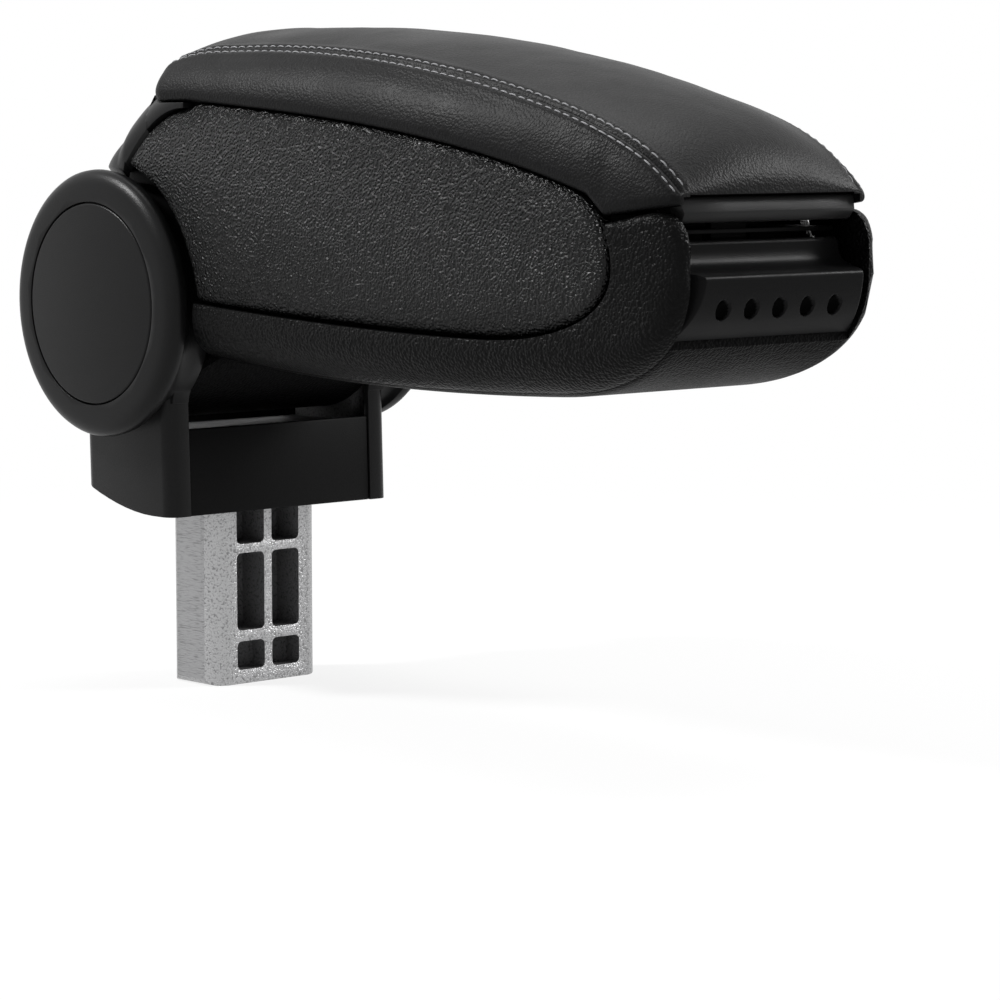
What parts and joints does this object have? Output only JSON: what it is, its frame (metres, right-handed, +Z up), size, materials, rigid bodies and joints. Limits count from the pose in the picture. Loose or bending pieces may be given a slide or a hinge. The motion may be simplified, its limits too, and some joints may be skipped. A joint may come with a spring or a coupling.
{
  "type": "car centre armrest",
  "caption": "Padded car armrest with a lidded compartment and a latch button, on a friction hinge with round housings and a cast post that plugs into the seat or console.",
  "frame": {"origin": "middle of the post where it leaves the underside of the base", "axes": "+X forward along the arm to its latch, +Y to the left, +Z up; the post points down"},
  "size_m": [0.325, 0.1282, 0.239],
  "materials": {
    "cast_metal": "as cast, with milled flats",
    "satin_black": "satin moulded black",
    "grained_black": "fine moulded grain",
    "panel_black": "fine moulded grain, slightly darker",
    "inner_black": "plain moulded black",
    "button_grey": "satin grey-black",
    "pad_leather": "stitched grained leatherette over foam",
    "mat_rubber": "ribbed rubber",
    "bush_polymer": "natural acetal",
    "plated_steel": "zinc plated"
  },
  "bodies": {
    "base": {"post": "cast_metal", "side_housing_right": "satin_black", "side_housing_left": "satin_black", "hinge_cap_right": "satin_black", "hinge_cap_left": "satin_black", "front_panel": "satin_black", "rear_panel": "satin_black", "axle": "plated_steel", "axle_nuts": "plated_steel", "friction_washers": "plated_steel", "housing_screws": "plated_steel"},
    "arm": {"lower_shell": "grained_black", "side_frame_right": "grained_black", "side_frame_left": "grained_black", "side_panel_right": "panel_black", "side_panel_left": "panel_black", "rear_cover": "satin_black", "tray": "inner_black", "tray_mat": "mat_rubber", "axle_bushes": "bush_polymer", "latch_bezel": "inner_black", "button_springs": "plated_steel", "tray_screws": "plated_steel"},
    "lid": {"lid_base": "inner_black", "lid_pad": "pad_leather", "lid_pin": "plated_steel", "lid_catch": "plated_steel"},
    "button": {"latch_button": "button_grey"}
  },
  "joints": [
    {"name": "arm_tilt", "type": "hinge", "parent": "base", "child": "arm", "pos_m": [-0.007, 0, 0.076], "axis": [0, -1, 0], "range_deg": [0, 95]},
    {"name": "lid_hinge", "type": "hinge", "parent": "arm", "child": "lid", "pos_m": [0.023, 0, 0.156], "axis": [0, -1, 0], "range_deg": [0, 75]},
    {"name": "button_press", "type": "slide", "parent": "arm", "child": "button", "axis": [-1, 0, 0], "range_m": [0, 0.0035], "stiffness_N_per_m": 800, "springref_m": -0.003, "deforming": ["button_springs"]}
  ]
}
